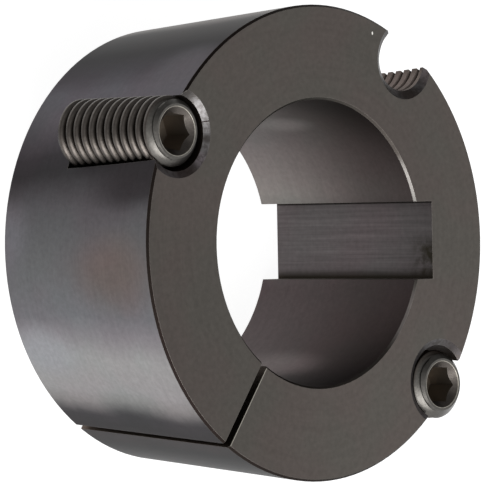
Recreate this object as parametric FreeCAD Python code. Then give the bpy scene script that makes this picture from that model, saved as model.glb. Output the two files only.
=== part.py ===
"""Taper lock bushing with its two clamp screws.

Millimetres. The axis of the bore is Z. The bushing stands on its small end
(z = 0) with the large end and the screw sockets up. The keyway lies along +X,
and angles around the axis count anticlockwise from it, seen from the large end.
"""
import FreeCAD, Part
import os
from math import ceil, cos, radians, sin, tan

V = FreeCAD.Vector
Z_UP = V(0, 0, 1)
ORIGIN = V(0, 0, 0)

# Bushing body
BORE_DIAMETER = 65.0
LARGE_END_WALL_THICKNESS = 21.475    # makes that end 107.95 (4 1/4 in) in diameter
BUSHING_LENGTH = 50.8                # 2 in
TAPER_HALF_ANGLE = 4.0               # degrees, 8 degrees included
RIM_CHAMFER_WIDTH = 0.55             # 45 degrees, round the large end
BORE_CHAMFER_WIDTH = 0.5             # 45 degrees, both ends of the bore
KEYWAY_WIDTH = 18.0
KEYWAY_DEPTH = 4.4                   # from the bore wall, at the middle of the keyway
SLIT_WIDTH = 1.75                    # saw cut through one wall

# Holes round the taper's edge
HOLE_INSET_DEPTH = 3.175             # 1/8 in, from the large end's edge to each centre
REMOVAL_HOLE_ANGLE = 55.0            # degrees; the slit is straight opposite
CLAMP_HOLE_SPREAD_ANGLE = 95.5       # degrees from the removal hole, one each way
CLAMP_HOLE_CLEARANCE = 0.56          # how much larger its radius is than the screw's
UPPER_CLAMP_HOLE_DEPTH = 31.2
LOWER_CLAMP_HOLE_DEPTH = 31.65
CLAMP_COUNTERSINK_WIDTH = 1.5
CLAMP_COUNTERSINK_HALF_ANGLE = 62.0  # degrees, from the hole's axis
REMOVAL_COUNTERSINK_WIDTH = 2.05     # from the thread's inner crests
REMOVAL_COUNTERSINK_HALF_ANGLE = 52.0
REMOVAL_COUNTERSINK_SHIFT = 0.5      # it sits off the hole's axis, towards -X

# Thread, 5/8 in, about 10 turns to the inch
THREAD_DIAMETER = 15.875
THREAD_PITCH = 2.5
FLANK_HALF_ANGLE = 30.0              # degrees
HOLE_THREAD_DEPTH = 0.95

# Clamp screws
SCREW_LENGTH = 31.75                 # 1 1/4 in
SCREW_HEAD_CHAMFER_WIDTH = 1.9       # 45 degrees, at the socket end
SCREW_HEAD_RING_WIDTH = 0.6          # flat between that chamfer and the socket
SCREW_TIP_CHAMFER_WIDTH = 1.5        # 45 degrees
SCREW_TIP_RING_WIDTH = 1.9           # flat between that chamfer and the cup
CUP_HALF_ANGLE = 60.0                # degrees
SOCKET_WIDTH = 7.94                  # 5/16 in across the flats
SOCKET_DEPTH = 8.0
UPPER_SCREW_TURN_ANGLE = -10.0       # degrees, how far each screw is turned in its hole
LOWER_SCREW_TURN_ANGLE = -4.0
UPPER_SCREW_STANDOFF = 0.75          # off its hole's axis, straight away from the bore
LOWER_SCREW_STANDOFF = 1.0

BORE_RADIUS = BORE_DIAMETER / 2
LARGE_END_RADIUS = BORE_RADIUS + LARGE_END_WALL_THICKNESS
HOLE_CIRCLE_RADIUS = LARGE_END_RADIUS - HOLE_INSET_DEPTH
THREAD_RADIUS = THREAD_DIAMETER / 2


def at_angle(radius, angle, z=0):
    """The point at this radius and angle from the bore's axis."""
    return V(radius * cos(radians(angle)), radius * sin(radians(angle)), z)


def turned(profile):
    """The solid that a list of (radius, z) points makes when turned round Z."""
    points = [V(radius, 0, z) for radius, z in profile]
    face = Part.Face(Part.makePolygon(points + points[:1]))
    return face.revolve(ORIGIN, Z_UP, 360)


def drilled(radius, depth):
    """What a drill takes away from z = 0 down to -depth, and as far above."""
    return Part.makeCylinder(radius, 2 * depth, V(0, 0, -depth))


def countersink(mouth_radius, half_angle):
    """What a countersink with its mouth at z = 0 takes away, and on past the mouth."""
    depth = mouth_radius / tan(radians(half_angle))
    return turned([(0, -depth), (2 * mouth_radius, depth), (0, depth)])


def hole_mouth(angle, standoff=0):
    """The middle of a hole's mouth on the large end, or a point further from the bore."""
    return at_angle(HOLE_CIRCLE_RADIUS + standoff, angle, BUSHING_LENGTH)


def removal_hole():
    """The tapped hole at the taper's edge, right through from end to end. Its right hand
    thread's groove is a list of single turns."""
    crest = THREAD_RADIUS - HOLE_THREAD_DEPTH
    sink = countersink(crest + REMOVAL_COUNTERSINK_WIDTH, REMOVAL_COUNTERSINK_HALF_ANGLE)
    sink.translate(V(-REMOVAL_COUNTERSINK_SHIFT, 0, 0))

    inner = crest - HOLE_THREAD_DEPTH / 2      # starts inside the drilled hole
    half_width = (THREAD_RADIUS - inner) * tan(radians(FLANK_HALF_ANGLE))
    section = Part.makePolygon([V(inner, 0, -half_width), V(THREAD_RADIUS, 0, 0),
                                V(inner, 0, half_width), V(inner, 0, -half_width)])
    helix = Part.Wire(Part.makeHelix(THREAD_PITCH, THREAD_PITCH, inner))
    turn = helix.makePipeShell([section], True, True)
    turns = [turn.translated(V(0, 0, -k * THREAD_PITCH))
             for k in range(ceil(BUSHING_LENGTH / THREAD_PITCH) + 2)]

    tools = [drilled(crest, BUSHING_LENGTH + THREAD_PITCH), sink, *turns]
    return [tool.translated(hole_mouth(REMOVAL_HOLE_ANGLE)) for tool in tools]


def clamp_angle(side):
    """Where a clamp hole is round the bore; side is 1 (upper) or -1 (lower)."""
    return REMOVAL_HOLE_ANGLE + side * CLAMP_HOLE_SPREAD_ANGLE


def clamp_hole(side, depth):
    """The smooth blind hole at the taper's edge that a clamp screw stands in."""
    radius = THREAD_RADIUS + CLAMP_HOLE_CLEARANCE
    sink = countersink(radius + CLAMP_COUNTERSINK_WIDTH, CLAMP_COUNTERSINK_HALF_ANGLE)
    return [tool.translated(hole_mouth(clamp_angle(side)))
            for tool in (drilled(radius, depth), sink)]


def bushing_body():
    """One turned piece, tapered outside, with keyway, slit and three half-holes."""
    slope = tan(radians(TAPER_HALF_ANGLE))
    body = turned([
        (BORE_RADIUS + BORE_CHAMFER_WIDTH, 0),
        (LARGE_END_RADIUS - BUSHING_LENGTH * slope, 0),
        (LARGE_END_RADIUS - RIM_CHAMFER_WIDTH * slope, BUSHING_LENGTH - RIM_CHAMFER_WIDTH),
        (LARGE_END_RADIUS - RIM_CHAMFER_WIDTH, BUSHING_LENGTH),
        (BORE_RADIUS + BORE_CHAMFER_WIDTH, BUSHING_LENGTH),
        (BORE_RADIUS, BUSHING_LENGTH - BORE_CHAMFER_WIDTH),
        (BORE_RADIUS, BORE_CHAMFER_WIDTH)])

    keyway = Part.makeBox(BORE_RADIUS + KEYWAY_DEPTH, KEYWAY_WIDTH, BUSHING_LENGTH,
                          V(0, -KEYWAY_WIDTH / 2, 0))
    slit = Part.makeBox(2 * LARGE_END_RADIUS, SLIT_WIDTH, BUSHING_LENGTH,
                        V(0, -SLIT_WIDTH / 2, 0))
    slit.rotate(ORIGIN, Z_UP, REMOVAL_HOLE_ANGLE + 180)
    body = body.cut([keyway, slit, *clamp_hole(1, UPPER_CLAMP_HOLE_DEPTH),
                     *clamp_hole(-1, LOWER_CLAMP_HOLE_DEPTH)])
    return body.cut(removal_hole())


def clamp_screw(side, depth, standoff, turn):
    """A socket set screw with a cup point, standing on the flat end of its hole."""
    cup = THREAD_RADIUS - SCREW_TIP_CHAMFER_WIDTH - SCREW_TIP_RING_WIDTH
    mouth = THREAD_RADIUS - SCREW_HEAD_CHAMFER_WIDTH - SCREW_HEAD_RING_WIDTH
    screw = turned([(0, cup / tan(radians(CUP_HALF_ANGLE))),
                    (cup, 0),
                    (THREAD_RADIUS - SCREW_TIP_CHAMFER_WIDTH, 0),
                    (THREAD_RADIUS, SCREW_TIP_CHAMFER_WIDTH),
                    (THREAD_RADIUS, SCREW_LENGTH - SCREW_HEAD_CHAMFER_WIDTH),
                    (THREAD_RADIUS - SCREW_HEAD_CHAMFER_WIDTH, SCREW_LENGTH),
                    (mouth, SCREW_LENGTH),
                    (0, SCREW_LENGTH - mouth)])

    corner = SOCKET_WIDTH / 2 / cos(radians(30))
    hexagon = Part.makePolygon([at_angle(corner, 60 * k) for k in range(7)])
    socket = Part.Face(hexagon).extrude(V(0, 0, SOCKET_DEPTH))
    socket.translate(V(0, 0, SCREW_LENGTH - SOCKET_DEPTH))

    screw = screw.cut(socket)
    screw.rotate(ORIGIN, Z_UP, turn)
    screw.translate(hole_mouth(clamp_angle(side), standoff) - V(0, 0, depth))
    return screw


PARTS = {
    "bushing_body": bushing_body(),
    "clamp_screw_upper": clamp_screw(1, UPPER_CLAMP_HOLE_DEPTH, UPPER_SCREW_STANDOFF,
                                     UPPER_SCREW_TURN_ANGLE),
    "clamp_screw_lower": clamp_screw(-1, LOWER_CLAMP_HOLE_DEPTH, LOWER_SCREW_STANDOFF,
                                     LOWER_SCREW_TURN_ANGLE),
}

os.makedirs("parts", exist_ok=True)
for name, shape in PARTS.items():
    shape.exportStep(f"parts/{name}.step")
    print(name, "valid", shape.isValid(), "solids", len(shape.Solids),
          "volume %.0f mm3" % shape.Volume, "faces", len(shape.Faces))
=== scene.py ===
"""The looks of a taper lock bushing and its two clamp screws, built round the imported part.

Metres, in the part's own frame: the bore's axis is Z, the small end stands on z = 0 and
the keyway lies along +X. Angles round the axis count anticlockwise from the keyway, seen
from the large end.
"""
from math import ceil, cos, pi, radians, sin, tan
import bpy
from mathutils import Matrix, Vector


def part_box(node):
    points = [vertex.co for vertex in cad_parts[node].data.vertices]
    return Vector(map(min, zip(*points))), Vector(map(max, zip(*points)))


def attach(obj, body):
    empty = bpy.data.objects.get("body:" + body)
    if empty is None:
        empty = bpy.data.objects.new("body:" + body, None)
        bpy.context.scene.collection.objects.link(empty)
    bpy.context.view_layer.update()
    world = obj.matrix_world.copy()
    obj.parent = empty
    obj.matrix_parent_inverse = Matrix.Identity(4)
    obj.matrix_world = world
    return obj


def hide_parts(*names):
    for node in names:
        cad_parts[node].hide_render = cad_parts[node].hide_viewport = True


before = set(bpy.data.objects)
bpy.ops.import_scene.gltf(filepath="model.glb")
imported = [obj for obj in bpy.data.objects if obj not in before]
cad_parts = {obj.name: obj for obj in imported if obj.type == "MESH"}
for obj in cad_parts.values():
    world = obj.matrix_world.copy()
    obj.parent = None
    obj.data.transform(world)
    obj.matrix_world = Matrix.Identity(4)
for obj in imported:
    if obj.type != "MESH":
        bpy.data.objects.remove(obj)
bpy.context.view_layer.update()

from types import SimpleNamespace

import bmesh
import bpy
from bpy.props import FloatProperty, FloatVectorProperty, PointerProperty
from mathutils import Euler, Vector

bl_info = {
    "name": "Taper lock bushing",
    "version": (1, 0, 0),
    "blender": (4, 5, 0),
    "location": "3D View > Sidebar > Bushing",
    "description": "Finishes a taper lock bushing, threads its clamp screws and lights it",
    "category": "Object",
}

MM = 0.001

# The bushing's sizes that its finish follows, in millimetres
LARGE_END_RADIUS = 53.975
BORE_RADIUS = 32.5
BUSHING_LENGTH = 50.8
TAPER_SLOPE = tan(radians(4.0))
SMALL_END_RADIUS = LARGE_END_RADIUS - BUSHING_LENGTH * TAPER_SLOPE
KEYWAY_FLOOR = 36.9                 # from the axis
KEYWAY_HALF_WIDTH = 9.0
SINK_DEPTH = 1.7                    # the countersinks lie no deeper than this
SLIT_ANGLE = radians(235)
SLIT_HALF_WIDTH = 0.875
HOLE_CIRCLE_RADIUS = 50.8
REMOVAL_HOLE = (HOLE_CIRCLE_RADIUS * cos(radians(55)), HOLE_CIRCLE_RADIUS * sin(radians(55)), 0)
REMOVAL_CREST_RADIUS = 6.99         # of its thread, from that hole's axis
REMOVAL_ROOT_RADIUS = 7.94

# The clamp screws and how far each is turned, and their sizes in millimetres
SCREWS = (("upper", radians(-10)), ("lower", radians(-4)))
SCREW_RADIUS = 7.9375
SCREW_LENGTH = 31.75
SCREW_SEGMENTS = 96                 # round the axis, a multiple of 6 for the hexagon's corners
CUP_SLOPE = 1 / tan(radians(60))    # of the cup point, height over radius

# How their mesh is finished, and the floor, in metres
MERGE_DISTANCE = 0.001 * MM         # points nearer than this are one
SHARP_ANGLE = radians(38)           # edges that bend more are drawn sharp
FLOOR_HALF_WIDTH = 4.0
FLOOR_DROP = 0.05 * MM              # so that it doesn't share a plane with the part

# Tones by the angle from the keyway in degrees: on the taper, and in the bore at each end. They are
# partly the oxide film's tone and partly painted reflections, long and soft, and painted shade. The
# taper's first values were typed in from the photograph's measured brightness at such angles, and
# all were then tuned against its mean colours until the render's bands were as light or dark.
TAPER_FILM_AND_PAINTED_REFLECTION = (
    (0, "5c585a"), (104, "7a7573"), (110, "33302f"), (123, "2a282a"), (131, "454247"),
    (138, "5b585e"), (145, "59555a"), (156, "353235"), (161, "302e30"), (170, "525053"),
    (185, "626163"), (197, "6d6d71"), (201, "7d7b7f"), (208, "959696"), (218, "949394"),
    (222, "868484"), (227, "3d3b3e"), (232, "302e30"), (237, "383435"), (243, "1f1e1f"),
    (275, "302d2d"), (360, "5c585a"))
BORE_SMALL_END_FILM_AND_PAINTED_LIGHT = (
    (0, "5c5858"), (20, "86827f"), (50, "6a6565"), (100, "6e6966"), (200, "6a6565"),
    (230, "767070"), (290, "5f5657"), (340, "514849"), (360, "5c5858"))
BORE_LARGE_END_FILM_AND_PAINTED_LIGHT = (
    (0, "464040"), (20, "57504f"), (60, "47413f"), (90, "393431"), (200, "2a2625"),
    (280, "332e2d"), (300, "3d3635"), (345, "413a3a"), (360, "464040"))

# Soft round spots, as the middle, half width, half height and tone of each. On the taper they are
# partly marks in the film and partly painted reflections and shade, in the bore painted highlights,
# on the countersinks painted shade and painted highlights, and on the bore's edge painted
# highlights.
# On the taper and in the bore they lie by degrees and height, on the countersinks and the bore's
# edge by x and y.
TAPER_STAINS_AND_PAINTED_LIGHT = (
    (134, 46, 13, 18, "5a555a"), (186, 38, 13, 18, "655956"), (207, 6, 10, 18, "92969a"),
    (178, 0, 14, 12, "6c696f"), (165, 46, 8, 20, "2b282a"))
BORE_PAINTED_HIGHLIGHTS = (
    (58, 22, 7, 12, "736e6d"), (297, 20, 14, 19, "736a6a"))
SINK_PAINTED_SHADE_AND_HIGHLIGHTS = (
    (-42, 34, 7, 5, "2a2827"), (-35.0, 23.6, 1.5, 1.6, "2e2a28"), (-41, 16, 6, 4, "3a3230"),
    (-37.3, 19.2, 2.6, 2.6, "6e666a"), (45, -27, 9, 8, "2a2828"), (30.5, 33.5, 5, 3.5, "3e3532"),
    (37, 37.5, 4, 5, "5e5657"))
LIP_PAINTED_HIGHLIGHTS = ((30, 13, 9, 9, "807f7c"), (28, -18, 10, 11, "86827f"))

# A dent on the large end with a painted glint: its middle, and how far it reaches along x
DING = (18.0, 47.7)
DING_RADIUS = 0.22
DING_STRETCH = 1.6                  # how much longer it is along y

# A nick across the upper countersink: its middle, slope, half width and reach each way
NICK = (-36.0, 27.4)
NICK_SLOPE = 0.134
NICK_HALF_WIDTH = 0.13
NICK_REACH = 2.0

# Painted light and shade round a clamp screw's thread, by the angle from +X in degrees: a painted
# reflection brightest from 198 to 208 degrees, darker elsewhere round it
SCREW_PAINTED_LIGHT = (
    (0, "d0d0d0"), (90, "e0e0e0"), (150, "f0f0f0"), (168, "c8c8c8"), (183, "c4c4c4"),
    (198, "ffffff"), (208, "ffffff"), (224, "c8c8c8"), (300, "d8d8d8"), (360, "d0d0d0"))

# How fine each pattern is, in features per millimetre. Real tool lines, grit and broach
# marks are finer, and are drawn as coarse as they need to be to show.
TOOL_LINES = 1.1                    # 0.9 mm from line to line
FILM_CLOUDS = 0.055                 # 18 mm, as large as a thumb
GRIT = 0.9                          # 1.1 mm
TORN_PATCHES = 0.4                  # 2.5 mm
BROACH_SCORES = 1.3                 # 0.8 mm
SCREW_GRIT = 1.6                    # 0.6 mm

# Sockets of Blender's Mix node when it mixes colours, and when it mixes numbers
MIX_A, MIX_B, MIX_RESULT = 6, 7, 2
MIX_NUMBER_A, MIX_NUMBER_B = 2, 3


def linear(code):
    """The linear colour, with alpha, of an sRGB hex code such as "8a8680"."""
    values = [int(code[k:k + 2], 16) / 255 for k in (0, 2, 4)]
    values = [v / 12.92 if v <= 0.04045 else ((v + 0.055) / 1.055) ** 2.4 for v in values]
    return (*values, 1.0)


def size(name, description, millimetres):
    """A length that a user can change."""
    return FloatProperty(name=name, description=description, default=millimetres * MM,
                         subtype="DISTANCE", unit="LENGTH")


def tone(name, description, code):
    """A colour that a user can change."""
    return FloatVectorProperty(name=name, description=description, default=linear(code), size=4,
                               min=0.0, max=1.0, subtype="COLOR")


def add(tree, kind, inputs=(), **settings):
    """Adds a node with these settings. inputs gives each socket a value, or the node or
    socket that feeds it."""
    node = tree.nodes.new(kind)
    for name, value in settings.items():
        setattr(node, name, value)
    for key, value in dict(inputs).items():
        if isinstance(value, bpy.types.Node):
            value = value.outputs[0]
        if isinstance(value, bpy.types.NodeSocket):
            tree.links.new(value, node.inputs[key])
        else:
            node.inputs[key].default_value = value
    return node


def new_material(name):
    """An empty node material and its tree."""
    material = bpy.data.materials.new(name)
    material.use_nodes = True
    material.node_tree.nodes.clear()
    return material, material.node_tree


class BushingSettings(bpy.types.PropertyGroup):
    """Tones of the bushing's black finish."""
    face_tone: tone("Large end", "Film on the flat faces", "4b4744")
    hole_tone: tone("Holes and slit", "Film where no tool or hand has rubbed it", "5c544e")
    sink_tone: tone("Countersinks", "Cut last and smoothest, so the film is thinner", "5c595a")
    worn_tone: tone("Worn edges", "Steel that shows where an edge has rubbed", "98938d")
    rim_tone: tone("Rim", "Film on the chamfer round the large end", "241f1d")
    slant_tone: tone("Film at a slant", "The film keeps the metal dark at a slant too", "d4d4d4")
    lip_tone: tone("Bore's edge", "Chamfer rubbed by every shaft that goes in", "3c3936")


class ScrewSettings(bpy.types.PropertyGroup):
    """Sizes and tones of the two clamp screws."""
    thread_pitch: size("Thread pitch", "One turn of the 5/8 in thread", 2.5)
    thread_start: size("Thread start", "How far along the axis the thread is shifted", 0.75)
    root_radius: size("Root radius", "From the screw's axis to the bottom of its thread", 6.45)
    socket_width: size("Socket width", "Hexagon socket across its flats", 7.94)
    socket_depth: size("Socket depth", "From the head's end to the socket's floor", 8.0)
    head_chamfer: size("Head chamfer", "Width of the 45 degree chamfer at the socket end", 1.9)
    head_ring: size("Head ring", "Flat between that chamfer and the socket's mouth", 0.6)
    tip_chamfer: size("Tip chamfer", "Width of the 45 degree chamfer at the cup point", 1.5)
    tip_ring: size("Tip ring", "Flat between that chamfer and the cup", 1.9)
    thread_tone: tone("Thread", "Film on the crests and flanks", "5a5551")
    # The groove's tone is partly oil and dark film and partly painted shade at the bottom of the
    # thread
    groove_oil_and_shade_tone: tone("Groove", "Oil and dark film at the bottom of the thread", "211d1a")
    head_tone: tone("Head", "Chamfer and ring, worn by handling", "504e4b")
    lip_tone: tone("Lip", "Bright edge round the socket's mouth", "8f8b83")
    socket_tone: tone("Socket", "Oiled black inside the hexagon", "70685f")


class StageSettings(bpy.types.PropertyGroup):
    """Light on the part."""
    key_power: FloatProperty(
        name="Key lamp", description="Power of the large soft lamp beside and above the part",
        default=7.0, min=0.0, unit="POWER")
    fill_power: FloatProperty(
        name="Fill lamp", description="Power of the soft lamp that the large end mirrors",
        default=0.8, min=0.0, unit="POWER")
    world_level: FloatProperty(
        name="Surroundings", description="Brightness of the pale room on matt things",
        default=0.45, min=0.0)
    floor_glow: FloatProperty(
        name="Floor glow", description="How white the floor stays where the part shades it",
        default=0.92, min=0.0)


def overlap(tree, *masks):
    """Where all of these masks are 1."""
    shared = masks[0]
    for mask in masks[1:]:
        shared = add(tree, "ShaderNodeMath", {0: shared, 1: mask}, operation="MULTIPLY")
    return shared


def surfaces(tree):
    """The bushing's coordinates in millimetres, and a mask for each of its surfaces, which
    is 1 on it and 0 elsewhere."""
    at = SimpleNamespace()
    coords = add(tree, "ShaderNodeTexCoord")
    at.place = add(tree, "ShaderNodeVectorMath", {0: coords.outputs["Object"], "Scale": 1 / MM},
                   operation="SCALE")
    at.x, at.y, at.z = add(tree, "ShaderNodeSeparateXYZ", {0: at.place}).outputs
    at.across = add(tree, "ShaderNodeVectorMath", {0: at.place, 1: (1, 1, 0)},
                    operation="MULTIPLY")
    at.radius = add(tree, "ShaderNodeVectorMath", {0: at.across},
                    operation="LENGTH").outputs["Value"]
    outward = add(tree, "ShaderNodeVectorMath", {0: at.across}, operation="NORMALIZE")
    facing_out = add(tree, "ShaderNodeVectorMath", {0: coords.outputs["Normal"], 1: outward},
                     operation="DOT_PRODUCT").outputs["Value"]
    facing = add(tree, "ShaderNodeSeparateXYZ", {0: coords.outputs["Normal"]})
    facing_x, _, facing_up = facing.outputs

    # The share of a full turn from the keyway
    away = add(tree, "ShaderNodeVectorMath", {0: at.across, "Scale": -1}, operation="SCALE")
    at.turn = add(tree, "ShaderNodeTexGradient", {0: away}, gradient_type="RADIAL").outputs["Fac"]

    # How far each point lies inside the taper's cone, and from the removal hole's axis
    cone = add(tree, "ShaderNodeMath", {0: at.z, 1: TAPER_SLOPE, 2: SMALL_END_RADIUS},
               operation="MULTIPLY_ADD")
    depth = add(tree, "ShaderNodeMath", {0: cone, 1: at.radius}, operation="SUBTRACT")
    at.hole_radius = add(tree, "ShaderNodeVectorMath", {0: at.across, 1: REMOVAL_HOLE},
                         operation="DISTANCE").outputs["Value"]
    in_thread = add(tree, "ShaderNodeMath", {0: at.hole_radius, 1: REMOVAL_ROOT_RADIUS + 0.2},
                    operation="LESS_THAN")
    below_face = add(tree, "ShaderNodeMath", {0: at.z, 1: BUSHING_LENGTH - 0.05},
                     operation="LESS_THAN")
    at.thread = overlap(tree, in_thread, below_face)

    # What is measured, where its mask is 0 and where it is 1. A facing value is the cosine
    # of the angle between the surface's normal and that direction.
    ranges = {
        "flat": (facing_up, 0.95, 0.99), "outward": (facing_out, 0.9, 0.96),
        "on_cone": (depth, 0.3, 0.1), "inward": (facing_out, -0.9, -0.96),
        "on_floor": (at.x, KEYWAY_FLOOR - 0.3, KEYWAY_FLOOR - 0.1),
        "to_axis": (facing_x, -0.9, -0.97), "sloped": (facing_up, 0.74, 0.78),
        "steep": (facing_up, 0.93, 0.89),
        "at_top": (at.z, BUSHING_LENGTH - SINK_DEPTH - 0.1, BUSHING_LENGTH - SINK_DEPTH),
        "at_rim": (at.radius, LARGE_END_RADIUS - 1.1, LARGE_END_RADIUS - 0.9),
        "tilted": (facing_out, 0.5, 0.6), "not_upright": (facing_up, 0.5, 0.6),
        "near_bore": (at.radius, BORE_RADIUS + 0.7, BORE_RADIUS + 0.6)}
    part = {name: add(tree, "ShaderNodeMapRange", {0: value, 1: low, 2: high})
            for name, (value, low, high) in ranges.items()}
    masks = {
        "face": ("flat",), "taper": ("outward", "on_cone"), "bore": ("inward",),
        "keyway": ("on_floor", "to_axis"), "sink": ("sloped", "steep", "at_top"),
        "rim": ("at_rim", "tilted", "not_upright"), "lip": ("near_bore", "steep", "not_upright")}
    for name, parts in masks.items():
        setattr(at, name, overlap(tree, *(part[other] for other in parts)))
    return at


def film_patterns(tree, at):
    """What breaks up the film: tool lines, clouds, grit, torn patches and broach scores."""
    # Tool lines run round the axis, so they follow radius + z and hardly the turn
    feed = add(tree, "ShaderNodeMath", {0: at.radius, 1: at.z}, operation="ADD")
    around = add(tree, "ShaderNodeVectorMath", {0: at.place, "Scale": 0.03}, operation="SCALE")
    a, b, _ = add(tree, "ShaderNodeSeparateXYZ", {0: around}).outputs
    lines_at = add(tree, "ShaderNodeCombineXYZ", {0: a, 1: b, 2: feed})
    # Scores run along the keyway, so they hardly follow z
    scored_at = add(tree, "ShaderNodeVectorMath", {0: at.place, 1: (0, 1, 0.02)},
                    operation="MULTIPLY")
    kinds = {
        "lines": (lines_at, TOOL_LINES, 4.0, 0.65), "clouds": (at.place, FILM_CLOUDS, 3.0, 0.5),
        "grit": (at.place, GRIT, 3.0, 0.6), "patches": (at.place, TORN_PATCHES, 4.0, 0.6),
        "scores": (scored_at, BROACH_SCORES, 5.0, 0.7)}
    return SimpleNamespace(**{
        name: add(tree, "ShaderNodeTexNoise",
                  {0: place, "Scale": fineness, "Detail": detail, "Roughness": roughness})
        for name, (place, fineness, detail, roughness) in kinds.items()})


def film(tree, turn, stops):
    """A tone by the share of a turn from the keyway: the oxide film's, with painted reflections and
    shade where the stops hold them.
    """
    ramp = add(tree, "ShaderNodeValToRGB", {0: turn})
    elements = ramp.color_ramp.elements
    for angle, _ in stops[1:-1]:
        elements.new(angle / 360)
    for element, (_, code) in zip(elements, stops):
        element.color = linear(code)
    return ramp.outputs["Color"]


def laid_over(tree, color, layers):
    """These layers, each a mask and a colour, one over the other on the first colour."""
    for mask, layer in layers:
        color = add(tree, "ShaderNodeMix", {0: mask, MIX_A: color, MIX_B: layer},
                    data_type="RGBA").outputs[MIX_RESULT]
    return color


def unrolled(tree, turn, z):
    """The coordinates by which stains lie round the axis: degrees and height."""
    degrees = add(tree, "ShaderNodeMath", {0: turn, 1: 360.0}, operation="MULTIPLY")
    return add(tree, "ShaderNodeCombineXYZ", {0: degrees, 1: z})


def spotted(tree, color, place, spot_table):
    """Soft round spots over a colour, for marks in the film and for painted light alike, where
    place holds the two coordinates they lie by.
    Each covers 0.8 of what is under it up to a fifth of its size, and fades out from there."""
    layers = []
    for across, along, width, tall, code in spot_table:
        scaled = add(tree, "ShaderNodeVectorMath", {0: place, 1: (1 / width, 1 / tall, 0)},
                     operation="MULTIPLY")
        away = add(tree, "ShaderNodeVectorMath", {0: scaled, 1: (across / width, along / tall, 0)},
                   operation="DISTANCE").outputs["Value"]
        spot_mask = add(tree, "ShaderNodeMapRange", {0: away, 1: 1.0, 2: 0.2, 4: 0.8},
                    interpolation_type="SMOOTHSTEP")
        layers.append((spot_mask, linear(code)))
    return laid_over(tree, color, layers)


def taper_film_and_reflections(tree, at, clouds):
    """Long bands of blue-grey, brown and pale steel whose edges wander, with spots: partly the
    film's tone and partly painted reflections and shade.
    """
    wander = add(tree, "ShaderNodeMapRange", {0: clouds, 1: 0.3, 2: 0.7, 3: -0.004, 4: 0.004})
    turn = add(tree, "ShaderNodeMath", {0: at.turn, 1: wander}, operation="ADD")
    return spotted(tree, film(tree, turn, TAPER_FILM_AND_PAINTED_REFLECTION), unrolled(tree, turn, at.z), TAPER_STAINS_AND_PAINTED_LIGHT)


def bore_film_and_painted_light(tree, at):
    """Painted reflections and shade over the film: paler towards the small end, with two painted
    highlights where the wall turns away.
    """
    along = add(tree, "ShaderNodeMapRange", {0: at.z, 1: BUSHING_LENGTH - 9, 2: 0},
                interpolation_type="SMOOTHSTEP")
    color = laid_over(tree, film(tree, at.turn, BORE_LARGE_END_FILM_AND_PAINTED_LIGHT),
                      ((along, film(tree, at.turn, BORE_SMALL_END_FILM_AND_PAINTED_LIGHT)),))
    return spotted(tree, color, unrolled(tree, at.turn, at.z), BORE_PAINTED_HIGHLIGHTS)


def keyway_tone(tree, at, scores, patches):
    """Scores along the axis from the broach, torn and brown at the large end's edge, and darkened
    along its two corners with painted shade."""
    near_edge = add(tree, "ShaderNodeMapRange",
                    {0: at.z, 1: BUSHING_LENGTH - 8, 2: BUSHING_LENGTH - 2})
    low_half = add(tree, "ShaderNodeMapRange", {0: at.y, 1: 2, 2: -2})
    torn = add(tree, "ShaderNodeMapRange", {0: patches, 1: 0.35, 2: 0.6})
    low_corner_shade = add(tree, "ShaderNodeMapRange",
                     {0: at.y, 1: 2.4 - KEYWAY_HALF_WIDTH, 2: 0.5 - KEYWAY_HALF_WIDTH})
    high_corner_shade = add(tree, "ShaderNodeMapRange",
                      {0: at.y, 1: KEYWAY_HALF_WIDTH - 0.5, 2: KEYWAY_HALF_WIDTH - 0.2})
    return laid_over(tree, linear("3c3839"), (
        (scores, linear("6f696a")), (overlap(tree, torn, near_edge, low_half), linear("332f29")),
        (low_corner_shade, linear("2b2722")), (high_corner_shade, linear("1f1c1a"))))


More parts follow.
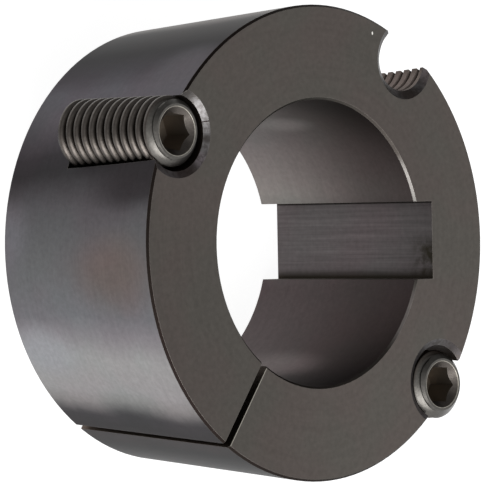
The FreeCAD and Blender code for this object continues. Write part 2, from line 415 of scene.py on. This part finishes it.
def body_film_and_painted_light(tree, at, pattern, settings):
    """The film's colour on each of the bushing's surfaces, before it wears, with painted
    reflections, shade and highlights laid on it.
    """
    # The removal hole's thread is rubbed bright on its crests, and darkened towards its roots with
    # painted shade
    deep = add(tree, "ShaderNodeMapRange",
               {0: at.hole_radius, 1: REMOVAL_CREST_RADIUS, 2: REMOVAL_ROOT_RADIUS})
    thread = laid_over(tree, linear("6c625e"), ((deep, linear("3d3734")),))
    speckles = add(tree, "ShaderNodeMapRange", {0: pattern.grit, 1: 0.42, 2: 0.6, 4: 0.6})
    # Over the film lie painted reflections on the taper and in the bore, painted shade and
    # highlights on the countersinks, painted highlights on the bore's edge, and painted shade in
    # the keyway's corners
    color = laid_over(tree, settings.hole_tone, (
        (at.thread, thread), (at.face, settings.face_tone), (at.bore, bore_film_and_painted_light(tree, at)),
        (at.taper, taper_film_and_reflections(tree, at, pattern.clouds)),
        (at.keyway, keyway_tone(tree, at, pattern.scores, pattern.patches)),
        (at.sink, spotted(tree, settings.sink_tone, at.across, SINK_PAINTED_SHADE_AND_HIGHLIGHTS)),
        (overlap(tree, speckles, at.sink), linear("302c2a")), (at.rim, settings.rim_tone),
        (at.lip, spotted(tree, settings.lip_tone, at.across, LIP_PAINTED_HIGHLIGHTS))))
    for noise, share in ((pattern.lines, 0.05), (pattern.grit, 0.1)):
        shade = add(tree, "ShaderNodeMapRange",
                    {0: noise, 1: 0.25, 2: 0.75, 3: 1 - share, 4: 1 + share})
        color = add(tree, "ShaderNodeVectorMath", {0: color, "Scale": shade}, operation="SCALE")

    # The film reads a little warmer and cooler in clouds as large as a thumb, and the large end is
    # painted lighter towards the keyway, a painted gradient of light
    hue = add(tree, "ShaderNodeMapRange", {0: pattern.clouds, 1: 0.4, 2: 0.6})
    tint = laid_over(tree, (1.03, 0.99, 0.99, 1), ((hue, (0.98, 1.01, 0.99, 1)),))
    color = add(tree, "ShaderNodeVectorMath", {0: color, 1: tint}, operation="MULTIPLY")
    painted_face_light = add(tree, "ShaderNodeMapRange",
                   {0: at.x, 1: -LARGE_END_RADIUS, 2: LARGE_END_RADIUS, 3: 0.93, 4: 1.17})
    painted_face_light = add(tree, "ShaderNodeMix",
                   {0: at.face, MIX_NUMBER_A: 1.0, MIX_NUMBER_B: painted_face_light}, data_type="FLOAT")
    return add(tree, "ShaderNodeVectorMath", {0: color, "Scale": painted_face_light}, operation="SCALE")


def slit_edge(tree, at):
    """The two edges of the slit on the large end."""
    off = add(tree, "ShaderNodeVectorMath",
              {0: at.across, 1: (-sin(SLIT_ANGLE), cos(SLIT_ANGLE), 0)}, operation="DOT_PRODUCT")
    beside = add(tree, "ShaderNodeMath",
                 {0: off.outputs["Value"], 1: SLIT_HALF_WIDTH + 0.1, 2: 0.12}, operation="COMPARE")
    beyond = add(tree, "ShaderNodeMath", {0: at.y, 1: 0.0}, operation="LESS_THAN")
    return overlap(tree, beside, beyond, at.face)


def dent_glint(tree, at):
    """A small dent on the large end, with a painted glint on it."""
    squashed = add(tree, "ShaderNodeVectorMath", {0: at.across, 1: (1, 1 / DING_STRETCH, 0)},
                   operation="MULTIPLY")
    off = add(tree, "ShaderNodeVectorMath", {0: squashed, 1: (DING[0], DING[1] / DING_STRETCH, 0)},
              operation="DISTANCE")
    dent = add(tree, "ShaderNodeMapRange",
               {0: off.outputs["Value"], 1: DING_RADIUS * 1.3, 2: DING_RADIUS * 0.7})
    return overlap(tree, dent, at.face)


def nick(tree, at):
    """A short straight cut across the upper countersink."""
    line = add(tree, "ShaderNodeMath", {0: at.x, 1: -NICK_SLOPE, 2: NICK_SLOPE * NICK[0] - NICK[1]},
               operation="MULTIPLY_ADD")
    off = add(tree, "ShaderNodeMath", {0: at.y, 1: line}, operation="ADD")
    cut = add(tree, "ShaderNodeMath", {0: off, 1: 0, 2: NICK_HALF_WIDTH}, operation="COMPARE")
    near = add(tree, "ShaderNodeVectorMath", {0: at.across, 1: (*NICK, 0)}, operation="DISTANCE")
    near = add(tree, "ShaderNodeMath", {0: near.outputs["Value"], 1: NICK_REACH},
               operation="LESS_THAN")
    return overlap(tree, cut, near, at.sink)


def body_material(settings):
    """Black oxide on turned steel: a dark, warm, satin metal with faint circular tool lines.
    On the taper, blue-grey, brown and pale steel lie in long bands, partly an uneven film and
    partly painted reflections."""
    material, tree = new_material("black_oxide_on_turned_steel_with_painted_light")
    at = surfaces(tree)
    pattern = film_patterns(tree, at)

    # Edges rubbed down to steel: where a softened normal differs from the true one
    soft = add(tree, "ShaderNodeBevel", {"Radius": 0.2 * MM}, samples=4)
    true = add(tree, "ShaderNodeNewGeometry").outputs["Normal"]
    bend = add(tree, "ShaderNodeVectorMath", {0: soft, 1: true}, operation="DOT_PRODUCT")
    edges = add(tree, "ShaderNodeMapRange", {0: bend.outputs["Value"], 1: 0.98, 2: 0.8, 4: 0.35})
    # Over this: worn edges, the slit's pale edges, a painted glint on a dent and a dark nick
    color = laid_over(tree, body_film_and_painted_light(tree, at, pattern, settings), (
        (edges, settings.worn_tone), (slit_edge(tree, at), linear("8a867f")),
        (dent_glint(tree, at), linear("e8e6e0")), (nick(tree, at), linear("1c1816"))))

    relief = add(tree, "ShaderNodeMix",
                 {0: at.keyway, MIX_NUMBER_A: pattern.lines, MIX_NUMBER_B: pattern.scores},
                 data_type="FLOAT")
    edge = add(tree, "ShaderNodeBevel", {"Radius": 0.12 * MM}, samples=4)
    normal = add(tree, "ShaderNodeBump",
                 {"Strength": 0.1, "Distance": 0.05 * MM, "Height": relief, "Normal": edge})
    roughness = add(tree, "ShaderNodeMapRange", {0: at.sink, 3: 0.42, 4: 0.34})
    round_axis = add(tree, "ShaderNodeTangent", direction_type="RADIAL", axis="Z")
    surface = add(tree, "ShaderNodeBsdfPrincipled",
                  {"Base Color": color, "Metallic": 1.0, "Roughness": roughness,
                   "Anisotropic": 0.2, "Specular Tint": settings.slant_tone, "Normal": normal,
                   "Tangent": round_axis})
    add(tree, "ShaderNodeOutputMaterial", {"Surface": surface})
    return material


def screw_material(settings):
    """Black oxide on a rolled steel thread: shinier than the bushing, oily black and painted with
    shade in the grooves, with painted light round it and a head and a socket's lip that handling
    has worn pale."""
    material, tree = new_material("black_oxide_on_rolled_steel_with_painted_light")
    coords = add(tree, "ShaderNodeTexCoord")
    place = add(tree, "ShaderNodeVectorMath", {0: coords.outputs["Object"], "Scale": 1 / MM},
                operation="SCALE")
    across = add(tree, "ShaderNodeVectorMath", {0: place, 1: (1, 1, 0)}, operation="MULTIPLY")
    radius = add(tree, "ShaderNodeVectorMath", {0: across}, operation="LENGTH").outputs["Value"]
    _, _, z = add(tree, "ShaderNodeSeparateXYZ", {0: place}).outputs
    away = add(tree, "ShaderNodeVectorMath", {0: across, "Scale": -1}, operation="SCALE")
    turn = add(tree, "ShaderNodeTexGradient", {0: away}, gradient_type="RADIAL").outputs["Fac"]

    root, chamfer = settings.root_radius / MM, settings.head_chamfer / MM
    mouth = SCREW_RADIUS - chamfer - settings.head_ring / MM
    # Above the root the thread leaves the groove's tone, oil and painted shade
    rubbed = add(tree, "ShaderNodeMapRange", {0: radius, 1: root + 0.4, 2: root + 1.05})
    at_head = add(tree, "ShaderNodeMapRange",
                  {0: z, 1: SCREW_LENGTH - chamfer, 2: SCREW_LENGTH - chamfer + 0.2})
    at_tip = add(tree, "ShaderNodeMapRange", {0: z, 1: 0.9, 2: 0.5})
    ring = add(tree, "ShaderNodeMath", {0: radius, 1: mouth}, operation="GREATER_THAN")
    lip = add(tree, "ShaderNodeMath", {0: radius, 1: mouth, 2: 0.09}, operation="COMPARE")
    # The thread's tone, painted lighter and darker round the screw as painted reflections and shade
    thread = add(tree, "ShaderNodeVectorMath",
                 {0: settings.thread_tone[:3], 1: film(tree, turn, SCREW_PAINTED_LIGHT)},
                 operation="MULTIPLY")
    color = laid_over(tree, settings.groove_oil_and_shade_tone, (
        (rubbed, thread), (at_head, thread), (at_tip, settings.head_tone),
        (overlap(tree, ring, at_head), settings.head_tone),
        (overlap(tree, lip, at_head), settings.lip_tone)))

    grit = add(tree, "ShaderNodeTexNoise",
               {0: place, "Scale": SCREW_GRIT, "Detail": 4.0, "Roughness": 0.65})
    shade = add(tree, "ShaderNodeMapRange", {0: grit, 1: 0.25, 2: 0.75, 3: 0.75, 4: 1.25})
    color = add(tree, "ShaderNodeVectorMath", {0: color, "Scale": shade}, operation="SCALE")
    relief = add(tree, "ShaderNodeBump", {"Strength": 0.15, "Distance": 0.05 * MM, "Height": grit})
    surface = add(tree, "ShaderNodeBsdfPrincipled",
                  {"Base Color": color, "Metallic": 1.0, "Roughness": 0.34, "Normal": relief})
    add(tree, "ShaderNodeOutputMaterial", {"Surface": surface})
    return material


def socket_material(settings):
    """Forged steel left black inside the socket, dull and dark with oil."""
    material, tree = new_material("oiled_black_forged_steel")
    surface = add(tree, "ShaderNodeBsdfPrincipled",
                  {"Base Color": settings.socket_tone, "Metallic": 1.0, "Roughness": 0.5})
    add(tree, "ShaderNodeOutputMaterial", {"Surface": surface})
    return material


def thread_profile(pitch, root, crest):
    """One pitch of a 60 degree thread with rounded crests: (height along the axis, radius)
    from the middle of one crest to just before the next. The crest's shape is given in
    shares of the pitch, along the axis and down from the top."""
    rounded = ((0, 0), (0.06, 0.003), (0.11, 0.014), (0.15, 0.044), (0.18, 0.08))
    side = [(pitch * along, crest - pitch * down) for along, down in rounded]
    start, top = side[-1]
    flank = (top - root) * tan(radians(30))
    side += [(start + flank * share, top - (top - root) * share) for share in (1 / 3, 2 / 3, 1)]
    side += [(pitch / 2, root)]
    return side + [(pitch - height, radius) for height, radius in side[-2:0:-1]]


def hexagon_radius(angle, width):
    """From the middle of a hexagon to its edge; it has a corner at angle 0."""
    return width / 2 / cos(angle % (pi / 3) - pi / 6)


def screw_rings(settings, crest, length):
    """A set screw as rings of (radius, height) from the cup round to the socket's floor, with
    a point for each angle, and the first ring of the socket."""
    angles = [2 * pi * k / SCREW_SEGMENTS for k in range(SCREW_SEGMENTS + 1)]
    pitch, floor = settings.thread_pitch, length - settings.socket_depth
    head_end, tip_end = crest - settings.head_chamfer, crest - settings.tip_chamfer
    mouth, cup = head_end - settings.head_ring, tip_end - settings.tip_ring
    corners = [hexagon_radius(angle, settings.socket_width) for angle in angles]

    rings = [[(cup / 2, cup / 2 * CUP_SLOPE)] * len(angles), [(cup, 0)] * len(angles)]
    for row in range(-2, ceil(length / pitch) + 1):
        for height, radius in thread_profile(pitch, settings.root_radius, crest):
            ring = []
            for k in range(len(angles)):
                z = height + settings.thread_start + (row + k / SCREW_SEGMENTS) * pitch
                z = min(max(z, 0), length)
                ring.append((min(radius, tip_end + z, head_end + length - z), z))
            rings.append(ring)
    rings += [[(mouth, length)] * len(angles), [(r, length - mouth + r) for r in corners]]
    first_socket = len(rings) - 1
    rings += [[(r, floor) for r in corners], [(r / 2, floor) for r in corners]]
    return rings, first_socket, (cup * CUP_SLOPE, floor)


def screw_object(name, node, turn, settings):
    """A socket set screw in place of a packed one, standing where that one stands, with a
    right hand thread, a countersunk hexagon socket and a cup point."""
    low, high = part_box(node)
    rings, first_socket, ends = screw_rings(settings, (high.x - low.x) / 2, high.z - low.z)
    points, faces, slots = [], [], []
    for ring in rings:
        for k, (radius, z) in enumerate(ring):
            angle = turn + 2 * pi * k / SCREW_SEGMENTS
            points.append((radius * cos(angle), radius * sin(angle), z))
    span = SCREW_SEGMENTS + 1
    for row in range(len(rings) - 1):
        for start in range(row * span, row * span + SCREW_SEGMENTS):
            faces.append((start, start + 1, start + span + 1, start + span))
            slots.append(1 if row >= first_socket else 0)
    points += [(0, 0, z) for z in ends]
    top = (len(rings) - 1) * span
    for k in range(SCREW_SEGMENTS):
        faces += [(k + 1, k, len(points) - 2), (top + k, top + k + 1, len(points) - 1)]
        slots += [0, 1]

    mesh = bpy.data.meshes.new(name)
    mesh.from_pydata(points, [], faces)
    mesh.polygons.foreach_set("material_index", slots)
    shape = bmesh.new()
    shape.from_mesh(mesh)
    bmesh.ops.remove_doubles(shape, verts=shape.verts, dist=MERGE_DISTANCE)
    bmesh.ops.dissolve_degenerate(shape, edges=shape.edges, dist=MERGE_DISTANCE)
    shape.to_mesh(mesh)
    shape.free()
    mesh.polygons.foreach_set("use_smooth", [True] * len(mesh.polygons))
    mesh.set_sharp_from_angle(angle=SHARP_ANGLE)
    item = bpy.data.objects.new(name, mesh)
    item.location = ((low.x + high.x) / 2, (low.y + high.y) / 2, low.z)
    bpy.context.scene.collection.objects.link(item)
    return item


class TAPERLOCK_OT_body(bpy.types.Operator):
    """Gives the bushing its finish"""
    bl_idname = "taperlock.body"
    bl_label = "Finish the bushing"

    def execute(self, context):
        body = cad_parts["bushing_body"]
        body.material_slots[0].link = "OBJECT"
        body.material_slots[0].material = body_material(context.scene.taperlock_bushing)
        return {"FINISHED"}


class TAPERLOCK_OT_screws(bpy.types.Operator):
    """Makes the two threaded clamp screws"""
    bl_idname = "taperlock.screws"
    bl_label = "Make the clamp screws"

    def execute(self, context):
        settings = context.scene.taperlock_screws
        materials = screw_material(settings), socket_material(settings)
        for side, turn in SCREWS:
            node = f"clamp_screw_{side}"
            screw = screw_object(f"threaded_{node}", node, turn, settings)
            for material in materials:
                screw.data.materials.append(material)
            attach(screw, f"{side}_screw")
            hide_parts(node)
        return {"FINISHED"}


class TAPERLOCK_OT_stage(bpy.types.Operator):
    """Makes the floor, the lamps, the pale room and the camera"""
    bl_idname = "taperlock.stage"
    bl_label = "Set the stage"

    def execute(self, context):
        settings = context.scene.taperlock_stage
        stage_floor(settings)
        stage_lamps(settings)
        stage_world(settings)
        stage_camera()
        return {"FINISHED"}


def stage_floor(settings):
    """A wide white sheet just under the part, which keeps the part's shadow."""
    half, drop = FLOOR_HALF_WIDTH, FLOOR_DROP
    mesh = bpy.data.meshes.new("floor")
    corners = [(-half, -half, -drop), (half, -half, -drop), (half, half, -drop),
               (-half, half, -drop)]
    mesh.from_pydata(corners, [], [(0, 1, 2, 3)])
    floor = bpy.data.objects.new("floor", mesh)
    bpy.context.scene.collection.objects.link(floor)
    material, tree = new_material("matt_white_paper")
    ray = add(tree, "ShaderNodeLightPath")
    seen = add(tree, "ShaderNodeMath",
               {0: ray.outputs["Is Camera Ray"], 1: ray.outputs["Is Glossy Ray"]},
               operation="MAXIMUM")
    seen = add(tree, "ShaderNodeMath", {0: seen, 1: ray.outputs["Is Transmission Ray"]},
               operation="MAXIMUM")
    glow = add(tree, "ShaderNodeMath", {0: seen, 1: settings.floor_glow}, operation="MULTIPLY")
    paper = add(tree, "ShaderNodeBsdfDiffuse", {"Color": linear("8c8c8c")})
    light = add(tree, "ShaderNodeEmission", {"Color": (1, 1, 1, 1), "Strength": glow})
    both = add(tree, "ShaderNodeAddShader", {0: paper, 1: light})
    add(tree, "ShaderNodeOutputMaterial", {"Surface": both})
    mesh.materials.append(material)


def stage_lamps(settings):
    """Two softboxes aimed at the middle of the part. Each row gives the way to the lamp, its
    distance, width and height in metres, and its power."""
    target = Vector((0, 0, 0.025))
    for name, direction, distance, width, height, power in (
            ("key_lamp", (-0.1, -0.5, 0.86), 0.9, 0.6, 0.55, settings.key_power),
            ("fill_lamp", (0.92, 0.05, 0.55), 1.2, 0.9, 0.9, settings.fill_power)):
        lamp = bpy.data.lights.new(name, "AREA")
        lamp.shape, lamp.size, lamp.size_y, lamp.energy = "RECTANGLE", width, height, power
        item = bpy.data.objects.new(name, lamp)
        item.location = target + Vector(direction).normalized() * distance
        item.rotation_euler = (item.location - target).to_track_quat("Z", "Y").to_euler()
        bpy.context.scene.collection.objects.link(item)


def stage_world(settings):
    """A pale room, white to the camera. Metal shows it too, whiter on the key lamp's side."""
    world = bpy.data.worlds.new("pale_room")
    bpy.context.scene.world = world
    world.use_nodes = True
    tree = world.node_tree
    tree.nodes.clear()
    ray = add(tree, "ShaderNodeLightPath")
    coords = add(tree, "ShaderNodeTexCoord")
    side = add(tree, "ShaderNodeVectorMath",
               {0: coords.outputs["Generated"], 1: (-0.1, -0.75, 0.65)}, operation="DOT_PRODUCT")
    level = add(tree, "ShaderNodeMapRange",
                {0: side.outputs["Value"], 1: -0.1, 2: 0.9, 3: 0.3, 4: 1.7})
    mirrored = add(tree, "ShaderNodeMath",
                   {0: ray.outputs["Is Glossy Ray"], 1: ray.outputs["Is Transmission Ray"]},
                   operation="MAXIMUM")
    room = add(tree, "ShaderNodeBackground",
               {"Color": (1, 1, 1, 1), "Strength": settings.world_level})
    in_metal = add(tree, "ShaderNodeBackground", {"Color": (1, 1, 1, 1), "Strength": level})
    white = add(tree, "ShaderNodeBackground", {"Color": (1, 1, 1, 1), "Strength": 1.0})
    mixed = add(tree, "ShaderNodeMixShader", {0: mirrored, 1: room, 2: in_metal})
    mixed = add(tree, "ShaderNodeMixShader", {0: ray.outputs["Is Camera Ray"], 1: mixed, 2: white})
    add(tree, "ShaderNodeOutputWorld", {"Surface": mixed})


# The photograph's viewpoint, found by fitting the two rims, the bore and the holes
IMAGE_HEIGHT = 488                  # pixels, the frame's long side
FOCAL_LENGTH = 4221.3               # pixels
FACE_CENTRE = Vector((321.253, 243.064))    # pixels, where the large end's middle shows
IMAGE_CENTRE = Vector((243, 244))
CAMERA_DISTANCE = 954.2 * MM        # from the large end, along the view
CAMERA_TURN = (radians(0.507), radians(-44.573), radians(-1.5))


def stage_camera():
    """The photograph's viewpoint and frame."""
    camera = bpy.data.cameras.new("camera")
    camera.sensor_width = 36
    camera.lens = FOCAL_LENGTH / IMAGE_HEIGHT * camera.sensor_width
    item = bpy.data.objects.new("camera", camera)
    item.rotation_euler = CAMERA_TURN
    offset = (FACE_CENTRE - IMAGE_CENTRE) / FOCAL_LENGTH * CAMERA_DISTANCE
    back = Vector((-offset.x, offset.y, CAMERA_DISTANCE))
    item.location = Vector((0, 0, BUSHING_LENGTH * MM)) + Euler(CAMERA_TURN).to_matrix() @ back
    bpy.context.scene.collection.objects.link(item)
    bpy.context.scene.camera = item


class TAPERLOCK_PT_panel(bpy.types.Panel):
    """Lists the steps and the settings in the sidebar"""
    bl_idname = "TAPERLOCK_PT_panel"
    bl_label = "Taper lock bushing"
    bl_space_type = "VIEW_3D"
    bl_region_type = "UI"
    bl_category = "Bushing"

    def draw(self, context):
        for step in STEPS:
            self.layout.operator(step.bl_idname)
        for name, group in SETTINGS.items():
            for setting in group.__annotations__:
                self.layout.prop(getattr(context.scene, name), setting)


STEPS = (TAPERLOCK_OT_body, TAPERLOCK_OT_screws, TAPERLOCK_OT_stage)
SETTINGS = {"taperlock_bushing": BushingSettings, "taperlock_screws": ScrewSettings,
            "taperlock_stage": StageSettings}
CLASSES = (*SETTINGS.values(), *STEPS, TAPERLOCK_PT_panel)


def register():
    for item in CLASSES:
        bpy.utils.register_class(item)
    for name, group in SETTINGS.items():
        setattr(bpy.types.Scene, name, PointerProperty(type=group))


def unregister():
    for name in SETTINGS:
        delattr(bpy.types.Scene, name)
    for item in reversed(CLASSES):
        bpy.utils.unregister_class(item)


def main():
    register()
    bpy.ops.taperlock.body()
    bpy.ops.taperlock.screws()
    bpy.ops.taperlock.stage()
    bpy.context.scene.view_settings.view_transform = "Standard"


if __name__ == "__main__":
    main()
